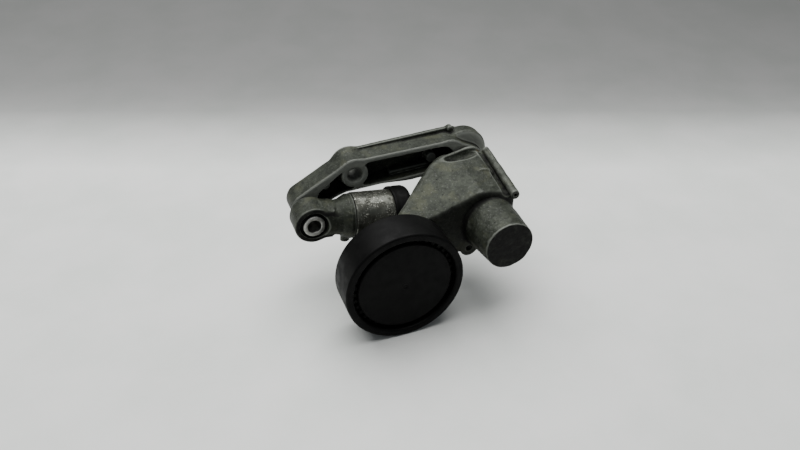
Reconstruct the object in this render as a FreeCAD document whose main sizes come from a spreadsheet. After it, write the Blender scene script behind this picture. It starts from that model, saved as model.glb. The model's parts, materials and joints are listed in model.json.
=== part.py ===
import FreeCAD, Part
import math
import os
import Sketcher

# Belt tensioner with a damper strut. Millimetres.
# Row frame: X to the right, Y away from the viewer into the engine, Z up.
# The origin is the axis of the bracket's main bolt bore, on the bracket's mounting face.
# "height" is the distance in front of that face, so a height of 17 lies at Y = -17.
# Every bore axis runs along Y. The strut lies in a plane of constant height.

V = FreeCAD.Vector
document = FreeCAD.newDocument("belt_tensioner")
sheet = document.addObject("Spreadsheet::Sheet", "Sizes")

SIZES = {
    # axes in the plane of the mounting face
    "eye_x": -33.0, "eye_z": -20.5,
    "pulley_x": 9.0, "pulley_z": -43.3,
    "pivot_x": 79.5, "pivot_z": -7.0,
    "nose_x": 76.0, "nose_z": -27.4,
    "pin_x": 75.0, "pin_z": -33.0,
    "lug_x": 63.2, "lug_z": -45.3,
    # heights in front of the mounting face
    "bracket_front": 17.0, "lever_back": 18.0, "strut_height": 26.0,
    "plate_back": 53.0, "plate_front": 59.0,
    "pulley_back": 61.0, "pulley_front": 85.0, "nose_end": 88.5,
    # bracket
    "bracket_floor": 4.0, "main_boss_radius": 8.6,
    "bolt_hole_radius": 4.4, "end_boss_radius": 17.0,
    # pivot
    "shaft_radius": 6.0, "running_gap": 0.04, "pivot_bush_radius": 8.0, "pivot_flange_radius": 11.0,
    "pivot_recess_radius": 11.5, "pivot_recess_depth": 5.5, "shaft_end": 36.0,
    # lever
    "nose_root_radius": 18.4, "nose_tip_radius": 15.9,
    "lug_radius": 6.2, "lock_hole_radius": 2.2,
    # strut
    "eye_radius": 12.3, "eye_width": 17.0, "sleeve_radius": 7.0, "sleeve_bore": 4.4,
    "rubber_radius": 9.0, "neck_radius": 11.2, "cylinder_radius": 15.0, "cylinder_bore": 12.5,
    "cylinder_start": 26.2, "cylinder_end": 54.0, "thread_radius": 11.0, "thread_end": 30.0,
    "tube_radius": 7.4, "tube_bore": 6.2, "tube_start": 23.0, "tube_end": 40.0,
    "rod_radius": 4.5, "boot_radius": 16.8, "boot_bore": 15.4, "boot_start": 52.0, "boot_end": 65.0,
    "rod_eye_radius": 11.0, "rod_eye_width": 16.0, "pin_radius": 5.0, "open_gap": 0.5,
    "pin_bush_radius": 7.5, "pin_end": 74.0,
    "spring_wire": 1.1, "spring_mean": 10.1, "spring_start": 30.2, "spring_end": 48.4,
    "spring_turns": 4.0,
    # pulley and its bearing
    "rim_radius": 38.0, "rim_inner": 34.6, "cap_pocket_radius": 33.0, "cap_radius": 30.3,
    "cap_ledge": 78.6,
    "bearing_outer": 20.0, "bearing_inner": 8.5, "bearing_back": 63.0, "bearing_front": 75.0,
    "ball_pitch": 14.25, "ball_radius": 3.4, "bolt_radius": 5.0,
}
COUNTS = {"balls": 8, "rim_ribs": 12, "cap_notches": 40}


class Size:
    """A length in millimetres that remembers the spreadsheet formula it comes from."""

    def __init__(self, number, formula):
        self.number = number
        self.formula = formula

    def _join(self, other, sign):
        other = other if isinstance(other, Size) else Size(float(other), repr(float(other)))
        results = {
            "+": self.number + other.number,
            "-": self.number - other.number,
            "*": self.number * other.number,
        }
        return Size(results[sign], "(" + self.formula + " " + sign + " " + other.formula + ")")

    def __add__(self, other):
        return self._join(other, "+")

    def __sub__(self, other):
        return self._join(other, "-")

    def __mul__(self, other):
        return self._join(other, "*")


class Sheet:
    """Gives each driving dimension as an attribute."""


size = Sheet()
for row, (alias, number) in enumerate(SIZES.items(), start=1):
    sheet.set("A%d" % row, alias)
    sheet.set("B%d" % row, str(number))
    sheet.setAlias("B%d" % row, alias)
    setattr(size, alias, Size(number, "Sizes." + alias))
document.recompute()


def as_size(amount):
    """A plain number becomes a Size with itself as its formula."""
    if isinstance(amount, Size):
        return amount
    return Size(float(amount), repr(float(amount)))


# ---------------------------------------------------------------- helpers

def new_body(name):
    body = document.addObject("PartDesign::Body", name)
    body.Label = name
    return body


def new_sketch(body, role, height):
    """A sketch on one of the body's own planes, moved along its normal by height."""
    plane = [item for item in body.Origin.OriginFeatures if item.Role == role][0]
    sketch = body.newObject("Sketcher::SketchObject", body.Name + "_sketch")
    sketch.AttachmentSupport = [(plane, "")]
    sketch.MapMode = "FlatFace"
    sketch.setExpression("AttachmentOffset.Base.z", as_size(height).formula)
    sketch.AttachmentOffset = FreeCAD.Placement(V(0, 0, as_size(height).number), FreeCAD.Rotation())
    return sketch


def bind(sketch, kind, references, amount):
    """One sketch dimension, driven by the spreadsheet."""
    amount = as_size(amount)
    index = sketch.addConstraint(Sketcher.Constraint(kind, *references, amount.number))
    sketch.setExpression("Constraints[%d]" % index, amount.formula)


def place_point(sketch, geometry, point, across, up):
    bind(sketch, "DistanceX", (-1, 1, geometry, point), across)
    bind(sketch, "DistanceY", (-1, 1, geometry, point), up)


def draw_circle(sketch, across, up, radius):
    across, up, radius = as_size(across), as_size(up), as_size(radius)
    circle = Part.Circle(V(across.number, up.number, 0), V(0, 0, 1), radius.number)
    index = sketch.addGeometry(circle)
    place_point(sketch, index, 3, across, up)
    bind(sketch, "Radius", (index,), radius)


def draw_polygon(sketch, corners):
    corners = [(as_size(across), as_size(up)) for across, up in corners]
    points = [V(across.number, up.number, 0) for across, up in corners]
    lines = []
    for start, end in zip(points, points[1:] + points[:1]):
        lines.append(sketch.addGeometry(Part.LineSegment(start, end)))
    for line, following in zip(lines, lines[1:] + lines[:1]):
        sketch.addConstraint(Sketcher.Constraint("Coincident", line, 2, following, 1))
    for line, (across, up) in zip(lines, corners):
        place_point(sketch, line, 1, across, up)


def tangent_normal(first, second):
    """Unit normal, at both circles, of the outer tangent on the right of first to second."""
    gap = math.hypot(second[0] - first[0], second[1] - first[1])
    along = ((second[0] - first[0]) / gap, (second[1] - first[1]) / gap)
    lean = (first[2] - second[2]) / gap
    square = math.sqrt(1 - lean * lean)
    return (along[0] * lean + along[1] * square, along[1] * lean - along[0] * square)


def draw_belt(sketch, circles):
    """The outline of a belt stretched round circles (across, up, radius), anticlockwise."""
    circles = [tuple(as_size(amount) for amount in circle) for circle in circles]
    plain = [tuple(amount.number for amount in circle) for circle in circles]
    count = len(plain)
    normals = [tangent_normal(plain[i], plain[(i + 1) % count]) for i in range(count)]
    arcs = []
    for i in range(count):
        across, up, radius = plain[i]
        start = math.atan2(normals[i - 1][1], normals[i - 1][0])
        sweep = (math.atan2(normals[i][1], normals[i][0]) - start) % (2 * math.pi)
        circle = Part.Circle(V(across, up, 0), V(0, 0, 1), radius)
        arcs.append(sketch.addGeometry(Part.ArcOfCircle(circle, start, start + sweep)))
    lines = []
    for i in range(count):
        ends = []
        for across, up, radius in (plain[i], plain[(i + 1) % count]):
            ends.append(V(across + radius * normals[i][0], up + radius * normals[i][1], 0))
        lines.append(sketch.addGeometry(Part.LineSegment(*ends)))
    for i in range(count):
        sketch.addConstraint(Sketcher.Constraint("Tangent", arcs[i], 2, lines[i], 1))
        sketch.addConstraint(Sketcher.Constraint("Tangent", lines[i], 2, arcs[(i + 1) % count], 1))
    for arc, (across, up, radius) in zip(arcs, circles):
        place_point(sketch, arc, 3, across, up)
        bind(sketch, "Radius", (arc,), radius)


def shape_sketch(body, shapes, height, role="XZ_Plane"):
    """A sketch holding circles, belts or polygons, by default parallel to the mounting face."""
    sketch = new_sketch(body, role, height)
    for kind, shape in shapes:
        if kind == "circle":
            draw_circle(sketch, *shape)
        elif kind == "belt":
            draw_belt(sketch, shape)
        else:
            draw_polygon(sketch, shape)
    return sketch


def check_change(body, feature, before, grows):
    """A feature that misses the solid changes nothing, which is an error here."""
    document.recompute()
    change = feature.Shape.Volume - before
    if (change <= 0) if grows else (change >= 0):
        raise RuntimeError("%s: %s changes nothing" % (body.Name, feature.Name))


def volume_of(body):
    return body.Shape.Volume if body.Tip and not body.Shape.isNull() else 0.0


def pad(body, shapes, start, end, role="XZ_Plane"):
    """Material between two heights above one of the body's planes."""
    before = volume_of(body)
    sketch = shape_sketch(body, shapes, start, role)
    feature = body.newObject("PartDesign::Pad", body.Name + "_pad")
    feature.Profile = sketch
    feature.setExpression("Length", (as_size(end) - start).formula)
    check_change(body, feature, before, True)
    return feature


def pocket(body, shapes, start, end, role="XZ_Plane"):
    """Removes what lies between two heights above one of the body's planes."""
    before = volume_of(body)
    sketch = shape_sketch(body, shapes, start, role)
    feature = body.newObject("PartDesign::Pocket", body.Name + "_pocket")
    feature.Profile = sketch
    feature.Reversed = True
    feature.setExpression("Length", (as_size(end) - start).formula)
    check_change(body, feature, before, False)
    return feature


def loft(body, sections, kind="PartDesign::AdditiveLoft"):
    """A loft through (shape, height) sections, each one circle or one belt."""
    before = volume_of(body)
    sketches = [shape_sketch(body, [shape], height) for shape, height in sections]
    feature = body.newObject(kind, body.Name + "_loft")
    feature.Profile = sketches[0]
    feature.Sections = sketches[1:]
    feature.Ruled = True
    check_change(body, feature, before, kind == "PartDesign::AdditiveLoft")
    return feature


def turn(body, profile, kind="PartDesign::Revolution"):
    """Turns a profile of (radius, position) corners about the body's own Z axis."""
    before = volume_of(body)
    sketch = new_sketch(body, "XZ_Plane", 0)
    draw_polygon(sketch, profile)
    feature = body.newObject(kind, body.Name + "_turn")
    feature.Profile = sketch
    feature.ReferenceAxis = (sketch, ["V_Axis"])
    feature.Angle = 360
    check_change(body, feature, before, kind == "PartDesign::Revolution")
    return feature


def ring_profile(inner, outer, start, end):
    return [(inner, start), (outer, start), (outer, end), (inner, end)]


def stand_on_face(body, across, up):
    """Puts a turned body's Z axis along the bores, with its zero at the mounting face."""
    rotation = FreeCAD.Rotation(V(1, 0, 0), 90)
    body.Placement = FreeCAD.Placement(V(across.number, 0, up.number), rotation)
    body.setExpression("Placement.Base.x", across.formula)
    body.setExpression("Placement.Base.z", up.formula)


STRUT_RUN = V(SIZES["pin_x"] - SIZES["eye_x"], 0, SIZES["pin_z"] - SIZES["eye_z"])
STRUT_LENGTH = STRUT_RUN.Length
STRUT_ROTATION = FreeCAD.Rotation(V(0, 0, 1), STRUT_RUN)


def lay_on_strut(body):
    """Puts a body's Z axis along the strut, with its zero at the eye."""
    base = V(SIZES["eye_x"], -SIZES["strut_height"], SIZES["eye_z"])
    body.Placement = FreeCAD.Placement(base, STRUT_ROTATION)
    body.setExpression("Placement.Base.x", size.eye_x.formula)
    body.setExpression("Placement.Base.y", "-" + size.strut_height.formula)
    body.setExpression("Placement.Base.z", size.eye_z.formula)


def turned_on_face(name, profile, across, up):
    body = new_body(name)
    turn(body, profile)
    stand_on_face(body, across, up)
    return body


def turned_on_strut(name, profile):
    body = new_body(name)
    turn(body, profile)
    lay_on_strut(body)
    return body


def clear_strut(body, steps):
    """Turns room for the strut out of a casting. Steps are (distance from the eye, radius)."""
    before = volume_of(body)
    sketch = new_sketch(body, "XZ_Plane", size.strut_height)
    origin = V(SIZES["eye_x"], SIZES["eye_z"], 0)
    along = V(STRUT_RUN.x, STRUT_RUN.z, 0).normalize()
    across = V(-along.y, along.x, 0)
    ends = [origin + along * as_size(steps[i][0]).number for i in (0, -1)]
    rim = [origin + along * as_size(distance).number + across * as_size(radius).number
           for distance, radius in reversed(steps)]
    draw_polygon(sketch, [(corner.x, corner.y) for corner in ends + rim])
    axis = sketch.addGeometry(Part.LineSegment(*ends), True)
    for point, end in enumerate(ends, start=1):
        place_point(sketch, axis, point, end.x, end.y)
    groove = body.newObject("PartDesign::Groove", body.Name + "_groove")
    groove.Profile = sketch
    groove.ReferenceAxis = (sketch, ["Axis0"])
    groove.Angle = 360
    check_change(body, groove, before, False)


# ---------------------------------------------------------------- bracket

def make_base_bracket():
    """Cast channel: a tray with its floor against the engine and its open side forward."""
    body = new_body("base_bracket")
    front, floor = size.bracket_front, size.bracket_floor
    eye = (size.eye_x, size.eye_z)
    pivot = (size.pivot_x, size.pivot_z)
    # left arm to the strut eye, right arm, and the end boss round the pivot
    pad(body, [("belt", [(-32.2, -17.6, 10.6), (0.0, 0.5, 10.2)])], 0, front)
    pad(body, [("belt", [(0.0, -1.8, 11.8), (66.0, 1.0, 11.2)])], 0, front)
    pad(body, [("circle", (79.5, -2.6, size.end_boss_radius))], 0, front - 6)
    pad(body, [("belt", [(66.0, 1.0, 11.2), (*pivot, 12.6)])], 0, front)
    # mounting flange standing proud of the top wall, with its small ejector nub
    pad(body, [("belt", [(6.0, -1.4, 12.9), (70.0, 1.8, 13.4)])], 0, 3)
    pad(body, [("circle", (71.5, 14.2, 2.2))], 0, 5)
    # the two trays
    pocket(body, [("belt", [(-19.0, -12.6, 6.2), (-4.0, -2.4, 7.0)])], floor, front)
    pocket(body, [("belt", [(11.0, -1.4, 8.2), (61.0, 0.8, 7.6)])], floor, front)
    # conical main boss, two small bosses and a stiffening rib inside the trays
    loft(body, [(("circle", (0.0, 0.0, 12.6)), 0), (("circle", (0.0, 0.0, size.main_boss_radius)), front)])
    pad(body, [("circle", (-18.6, -6.8, 3.4))], floor - 1, 11)
    pad(body, [("circle", (55.4, -1.0, 3.6))], floor - 1, 11)
    pad(body, [("belt", [(27.0, -7.8, 1.7), (54.0, -6.4, 1.7)])], floor - 1, 10)
    # bolt holes, then the pivot bore with its recess at the engine side
    pocket(body, [("circle", (0.0, 0.0, size.bolt_hole_radius))], 0, front)
    pocket(body, [("circle", (*eye, size.bolt_hole_radius))], 0, front)
    pocket(body, [("circle", (*pivot, size.pivot_bush_radius))], 0, front)
    pocket(body, [("circle", (*pivot, size.pivot_recess_radius))], 0, size.pivot_recess_depth)
    # the front rim gives way to the strut, which swings up a little as it shortens
    clear_strut(body, [(8, 16.4), (30, 16.4), (50, size.boot_radius + 2), (72, size.boot_radius + 2.4)])
    return body


# ---------------------------------------------------------------- pivot

def make_pivot_parts():
    """Shaft pressed into the lever, turning in two bushes in the bracket."""
    at = (size.pivot_x, size.pivot_z)
    front, recess = size.bracket_front, size.pivot_recess_depth
    shaft, bush = size.shaft_radius, size.pivot_bush_radius
    bore = shaft + size.running_gap
    groove = shaft - 0.7
    ring_start, ring_end = recess - 2.9, recess - 1.7
    shaft_end = size.shaft_end
    turned_on_face("pivot_shaft", [
        (0, ring_start - 1.2), (shaft - 0.6, ring_start - 1.2), (shaft, ring_start - 0.6),
        (shaft, ring_start), (groove, ring_start), (groove, ring_end), (shaft, ring_end),
        (shaft, shaft_end - 0.6), (shaft - 0.6, shaft_end), (0, shaft_end)], *at)
    turned_on_face("pivot_bush_front", [
        (bore, front - 5), (bush, front - 5), (bush, front), (size.pivot_flange_radius, front),
        (size.pivot_flange_radius, front + 0.9), (bore, front + 0.9)], *at)
    turned_on_face("pivot_bush_rear", ring_profile(bore, bush, recess, recess + 5.5), *at)
    turned_on_face("retaining_washer", ring_profile(
        bore + 0.05, size.pivot_recess_radius - 1.5, ring_end + 0.1, recess), *at)
    turned_on_face("retaining_ring", ring_profile(groove, shaft + 2.4, ring_start, ring_end), *at)


# ---------------------------------------------------------------- lever

def make_tensioner_lever():
    """Cast shell: front plate, sloping roof, right wall, pivot hub, nose and pulley boss."""
    body = new_body("tensioner_lever")
    back, plate, front = size.lever_back, size.plate_back, size.plate_front
    pulley = (size.pulley_x, size.pulley_z)
    pivot = (size.pivot_x, size.pivot_z)
    nose = (size.nose_x, size.nose_z)
    pin = (size.pin_x, size.pin_z)
    lug = (size.lug_x, size.lug_z)
    # each outline runs anticlockwise: pulley end, lower right, upper right, top
    loft(body, [
        (("belt", [(62.5, -6.5, 11.5), (86.0, -36.0, 6.0), (88.5, -1.5, 6.5), (75.0, -0.6, 6.0)]), back),
        (("belt", [(57.0, -10.0, 14.0), (86.5, -36.0, 6.0), (88.5, -2.2, 6.3), (68.0, -1.6, 6.0)]), 24),
        (("belt", [(12.0, -40.0, 16.5), (88.0, -36.0, 6.0), (89.0, -13.0, 5.0), (70.0, -7.5, 3.6)]),
         front)])
    # thin rim along the back of the roof
    pad(body, [("belt", [(66.0, -3.0, 7.2), (78.5, -4.0, 11.0)])], back, back + 2.8)
    # hollow under the roof and behind the front plate, open below and towards the engine
    loft(body, [
        (("belt", [(64.0, -75.0, 6.5), (82.0, -75.0, 4.0), (86.5, -4.5, 4.0), (76.0, -4.6, 4.0),
                   (64.0, -8.5, 6.5)]), back - 1),
        (("belt", [(22.0, -75.0, 12.0), (83.0, -75.0, 4.0), (84.5, -15.5, 4.0), (66.0, -12.5, 3.5),
                   (22.0, -36.0, 12.0)]), plate)], "PartDesign::SubtractiveLoft")
    clear_strut(body, [(0, size.boot_radius + 2.6), (size.boot_end + 8, size.boot_radius + 2.6)])
    # the strut swings down against the lever as the lever turns, so the left wall gives way below it
    pocket(body, [("polygon", [(0.0, -26.0), (60.0, -31.0), (60.0, -75.0), (0.0, -75.0)])],
           back, size.strut_height + size.boot_radius + 0.9)
    # pivot hub, the web between the hubs, and the boss that backs the strut pin
    rod_end_front = size.strut_height + size.rod_eye_width * 0.5
    loft(body, [(("circle", (*pivot, 10.4)), back), (("circle", (79.5, -8.6, 8.4)), 40)])
    pad(body, [("belt", [(*pin, 2.2), (*pivot, 2.2)])], rod_end_front + 4, plate)
    pad(body, [("circle", (*pin, 9.6))], rod_end_front + 0.4, plate)
    # pulley boss, the rib behind the arm, and the locking lug
    pad(body, [("circle", (*pulley, 9.2))], 44, size.pulley_back - 1)
    pad(body, [("belt", [(*pulley, 2.0), (66.0, -38.0, 2.0)])], 48, plate)
    pad(body, [("belt", [(*lug, size.lug_radius), (70.0, -36.0, 8.0)])], plate, front)
    # tapered nose, and the long rib on the right flank
    loft(body, [(("circle", (*nose, size.nose_root_radius)), plate),
                (("circle", (*nose, size.nose_tip_radius)), size.nose_end)])
    loft(body, [(("circle", (91.6, 1.8, 2.6)), back), (("circle", (92.4, -9.3, 3.0)), front + 3)])
    # bores
    pocket(body, [("circle", (*pivot, size.shaft_radius))], back, size.shaft_end)
    pocket(body, [("circle", (*pin, size.pin_radius))], rod_end_front, size.pin_end)
    pocket(body, [("circle", (*pulley, size.bolt_radius))], 44, size.pulley_back)
    pocket(body, [("circle", (*lug, size.lock_hole_radius))], plate, front)
    pocket(body, [("circle", (92.4, -9.3, 1.1))], front - 1, front + 3)
    return body


def make_pin_parts():
    """Pin pressed into the nose, carrying the rod end, kept by a washer and a ring."""
    at = (size.pin_x, size.pin_z)
    radius = size.pin_radius
    groove = radius - 0.6
    rod_end_back = size.strut_height - size.rod_eye_width * 0.5
    ring_start, ring_end = rod_end_back - 2.4, rod_end_back - 1.3
    pin_end = size.pin_end
    turned_on_face("strut_pin", [
        (0, ring_start - 1.6), (radius - 0.6, ring_start - 1.6), (radius, ring_start - 1),
        (radius, ring_start), (groove, ring_start), (groove, ring_end), (radius, ring_end),
        (radius, pin_end - 1), (radius - 1, pin_end), (0, pin_end)], *at)
    turned_on_face("pin_washer", ring_profile(radius, 8.5, ring_end, rod_end_back - 0.2), *at)
    turned_on_face("pin_ring", ring_profile(groove, radius + 2, ring_start, ring_end), *at)


# ---------------------------------------------------------------- strut

def make_strut_eye_end():
    """Cast end fitting: flat eye, round neck, and the collar that screws into the cylinder."""
    body = new_body("strut_eye_end")
    neck, bore, tube = size.neck_radius, size.tube_bore, size.tube_radius
    collar = size.cylinder_start - 0.4
    thread = size.thread_radius
    turn(body, [(0, 9.6), (neck, 9.6), (neck, 15), (11.8, 18), (13.2, 20.6), (14.4, 23), (14.6, collar),
                (thread, collar), (thread, size.thread_end), (tube, size.thread_end),
                (tube, size.tube_start), (bore, size.tube_start), (bore, 17.2), (0, 17.2)])
    # the body's Y axis is the eye's axis, and its X axis points down
    half = size.eye_width * 0.5
    cheek = size.eye_radius * 0.78
    pad(body, [("circle", (0, 0, size.eye_radius))], half * -1, half)
    pad(body, [("polygon", [(cheek * -1, 0), (cheek, 0), (cheek, 12.4), (cheek * -1, 12.4)])],
        half * -1, half)
    pad(body, [("circle", (-3.2, 22.3, 3.0))], 9.5, 17, "YZ_Plane")
    pocket(body, [("circle", (0, 0, size.rubber_radius))], half * -1 - 3, half + 3)
    lay_on_strut(body)
    return body


def make_eye_bush():
    """Steel sleeve in a rubber ring, pressed into the eye."""
    at = (size.eye_x, size.eye_z)
    back = size.strut_height - size.eye_width * 0.5
    front = size.strut_height + size.eye_width * 0.5
    turned_on_face("eye_rubber_bush", ring_profile(
        size.sleeve_radius, size.rubber_radius, back + 0.7, front - 0.7), *at)
    turned_on_face("eye_sleeve", ring_profile(
        size.sleeve_bore, size.sleeve_radius, back - 0.3, front + 0.3), *at)


def make_cylinder_parts():
    """Cylinder, the pressure tube and check valve inside it, and the ring that stops the rod."""
    start, end = size.cylinder_start, size.cylinder_end
    outer, bore, thread = size.cylinder_radius, size.cylinder_bore, size.thread_radius
    ring_start, ring_end = end - 2.8, end - 1.6
    ring_outer = bore + 0.8
    turned_on_strut("strut_cylinder", [
        (thread, start), (outer - 0.4, start), (outer, start + 0.5), (outer, end - 1.4),
        (outer - 0.5, end - 0.4), (outer - 1.4, end), (bore, end), (bore, ring_end),
        (ring_outer, ring_end), (ring_outer, ring_start), (bore, ring_start),
        (bore, size.thread_end), (thread, size.thread_end)])
    turned_on_strut("cylinder_stop_ring", ring_profile(bore - 2, ring_outer, ring_start, ring_end))
    turned_on_strut("pressure_tube", ring_profile(
        size.tube_bore, size.tube_radius, size.tube_start, size.tube_end))
    seat = size.tube_start - 2.4
    turned_on_strut("valve_seat", [
        (1.4, seat), (size.tube_bore, seat), (size.tube_bore, size.tube_start), (1.4, size.tube_start)])
    ball = document.addObject("Part::Sphere", "valve_ball")
    ball.Radius = 1.9
    ball.Label = "valve_ball"
    rest = seat.number - math.sqrt(1.9 ** 2 - 1.4 ** 2) - 0.02
    centre = V(SIZES["eye_x"], -SIZES["strut_height"], SIZES["eye_z"])
    ball.Placement = FreeCAD.Placement(centre + STRUT_ROTATION.multVec(V(0, 0, rest)), STRUT_ROTATION)


def make_strut_spring():
    """Compression spring between the end fitting and the spring plate."""
    body = new_body("strut_spring")
    sketch = new_sketch(body, "XZ_Plane", 0)
    draw_circle(sketch, size.spring_mean, size.spring_start + size.spring_wire, size.spring_wire)
    spring = body.newObject("PartDesign::AdditiveHelix", "strut_spring_helix")
    spring.Profile = sketch
    spring.ReferenceAxis = (sketch, ["V_Axis"])
    spring.Mode = "height-turns-angle"
    rise = size.spring_end - size.spring_start - size.spring_wire * 2
    spring.setExpression("Height", rise.formula)
    spring.setExpression("Turns", size.spring_turns.formula)
    document.recompute()
    lay_on_strut(body)
    return body


def make_rod_parts():
    """Rod with its piston, spring plate, boot, lock nut and rod end."""
    rod = size.rod_radius
    length = STRUT_LENGTH
    piston_end = size.tube_end - 0.5
    plate_end = size.cylinder_end - 2.9
    rod_end_start = 84
    turned_on_strut("strut_rod", [
        (0, piston_end), (rod, piston_end), (rod, 94.4), (rod - 0.6, 95), (0, 95)])
    turned_on_strut("strut_piston", [
        (0, piston_end - 4), (size.tube_bore - 0.06, piston_end - 4),
        (size.tube_bore - 0.06, piston_end), (0, piston_end)])
    turned_on_strut("spring_plate", ring_profile(
        rod, size.cylinder_bore - 0.2, plate_end - 2.5, plate_end))
    turned_on_strut("dust_boot", [
        (size.boot_bore, size.boot_start), (size.boot_radius, size.boot_start),
        (size.boot_radius, size.boot_end - 2.6), (size.boot_radius - 0.8, size.boot_end - 0.8),
        (size.boot_radius - 2.6, size.boot_end), (rod, size.boot_end), (rod, size.boot_end - 1.8),
        (size.boot_bore - 2.4, size.boot_end - 1.8), (size.boot_bore, size.boot_end - 4)])
    nut = new_body("lock_nut")
    corners = [(8.1 * math.cos(math.radians(60 * i)), 8.1 * math.sin(math.radians(60 * i)))
               for i in range(6)]
    pad(nut, [("polygon", corners), ("circle", (0, 0, rod))], rod_end_start - 5, rod_end_start, "XY_Plane")
    lay_on_strut(nut)
    rod_end = new_body("rod_end")
    half = size.rod_eye_width * 0.5
    turn(rod_end, [(0, rod_end_start), (6.4, rod_end_start), (7, rod_end_start + 0.6),
                   (7, length - 6), (0, length - 6)])
    pad(rod_end, [("circle", (0, length, size.rod_eye_radius))], half * -1, half)
    pocket(rod_end, [("circle", (0, length, size.pin_bush_radius))], half * -1, half)
    turn(rod_end, [(0, rod_end_start), (rod, rod_end_start), (rod, 95), (0, 95)], "PartDesign::Groove")
    lay_on_strut(rod_end)
    # the pin runs in this bush with room to spare
    turned_on_face("rod_end_bush", ring_profile(
        size.pin_radius + size.open_gap, size.pin_bush_radius,
        size.strut_height - half, size.strut_height + half), size.pin_x, size.pin_z)


# ---------------------------------------------------------------- pulley

def make_pulley_rim():
    """Moulded pulley: flat belt face, front ring, web, hub round the bearing, ribs behind."""
    body = new_body("pulley_rim")
    back, front = size.pulley_back, size.pulley_front
    rim, inner, pocket_radius = size.rim_radius, size.rim_inner, size.cap_pocket_radius
    seat = size.bearing_outer
    hub = seat + 4.2
    web_back = back + 7
    turn(body, [
        (seat - 1.4, back + 0.6), (hub, back + 0.6), (hub, web_back), (inner, web_back), (inner, back),
        (rim - 0.8, back), (rim, back + 0.8), (rim, front - 0.8), (rim - 0.8, front),
        (pocket_radius, front), (pocket_radius, size.cap_ledge), (hub, web_back + 4.5),
        (hub, size.bearing_front + 1.4), (seat, size.bearing_front + 1.4), (seat, size.bearing_back),
        (seat - 1.4, size.bearing_back)])
    before = volume_of(body)
    sketch = shape_sketch(body, [("polygon", [
        (hub - 1, -0.9), (inner + 1, -0.9), (inner + 1, 0.9), (hub - 1, 0.9)])], back + 1.5, "XY_Plane")
    rib = body.newObject("PartDesign::Pad", "rim_rib")
    rib.Profile = sketch
    rib.setExpression("Length", (web_back - back - 1).formula)
    check_change(body, rib, before, True)
    repeat_round(body, rib, COUNTS["rim_ribs"], True)
    stand_on_face(body, size.pulley_x, size.pulley_z)


def repeat_round(body, feature, count, grows):
    """Repeats a feature evenly about the body's Z axis."""
    before = feature.Shape.Volume
    axis = [item for item in body.Origin.OriginFeatures if item.Role == "Z_Axis"][0]
    pattern = body.newObject("PartDesign::PolarPattern", body.Name + "_pattern")
    pattern.Originals = [feature]
    pattern.Axis = (axis, [""])
    pattern.Angle = 360
    pattern.Occurrences = count
    body.Tip = pattern
    check_change(body, pattern, before, grows)


def make_dust_cap():
    """Front cover: flat disc, skirt, and a notched snap flange that sits on the rim's ledge."""
    body = new_body("dust_cap")
    ledge, radius = size.cap_ledge + 0.2, size.cap_radius
    face = size.pulley_front - 1.4
    skirt = radius - 1.7
    flange = size.cap_pocket_radius - 0.2
    turn(body, [(0, face - 1.8), (skirt, face - 1.8), (skirt, ledge), (flange, ledge),
                (flange, ledge + 2), (radius, ledge + 2), (radius, face - 0.6), (radius - 0.6, face),
                (1.8, face), (1.3, face - 0.4), (0, face - 0.4)])
    before = volume_of(body)
    sketch = shape_sketch(body, [("polygon", [
        (radius + 0.5, -1.2), (flange + 1, -1.2), (flange + 1, 1.2), (radius + 0.5, 1.2)])],
        ledge, "XY_Plane")
    notch = body.newObject("PartDesign::Pocket", "cap_notch")
    notch.Profile = sketch
    notch.Reversed = True
    notch.Length = 3
    check_change(body, notch, before, False)
    repeat_round(body, notch, COUNTS["cap_notches"], False)
    stand_on_face(body, size.pulley_x, size.pulley_z)


def make_bearing():
    """Deep groove ball bearing with a cage and two seals."""
    at = (size.pulley_x, size.pulley_z)
    back, front = size.bearing_back, size.bearing_front
    middle = (back + front) * 0.5
    pitch, ball = size.ball_pitch, size.ball_radius
    outer_land, outer_groove = 17.0, pitch + ball + 0.1
    inner_land, inner_groove = 11.5, pitch - ball - 0.1
    turned_on_face("bearing_outer_ring", [
        (outer_land, back), (size.bearing_outer, back), (size.bearing_outer, front), (outer_land, front),
        (outer_land, middle + 2.2), (outer_groove, middle + 0.6), (outer_groove, middle - 0.6),
        (outer_land, middle - 2.2)], *at)
    turned_on_face("bearing_inner_ring", [
        (size.bearing_inner, back), (inner_land, back), (inner_land, middle - 2.2),
        (inner_groove, middle - 0.6), (inner_groove, middle + 0.6), (inner_land, middle + 2.2),
        (inner_land, front), (size.bearing_inner, front)], *at)
    for name, start in (("bearing_seal_rear", back + 0.5), ("bearing_seal_front", front - 1.3)):
        turned_on_face(name, ring_profile(inner_land + 0.3, outer_land, start, start + 0.8), *at)
    balls = []
    for i in range(COUNTS["balls"]):
        angle = 2 * math.pi * i / COUNTS["balls"]
        sphere = document.addObject("Part::Sphere", "ball_%d" % (i + 1))
        sphere.setExpression("Radius", ball.formula)
        sphere.Placement.Base = V(SIZES["pulley_x"] + pitch.number * math.cos(angle), -middle.number,
                                  SIZES["pulley_z"] + pitch.number * math.sin(angle))
        balls.append(sphere)
    race = document.addObject("Part::Compound", "bearing_balls")
    race.Label = "bearing_balls"
    race.Links = balls
    # the cage is a band with a round window for each ball
    cage = new_body("bearing_cage")
    turn(cage, ring_profile(13.3, 15.2, middle - 2.4, middle + 4.2))
    window = pocket(cage, [("circle", (0, middle, ball + 0.1))], 0, 20, "YZ_Plane")
    repeat_round(cage, window, COUNTS["balls"], False)
    stand_on_face(cage, *at)


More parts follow.
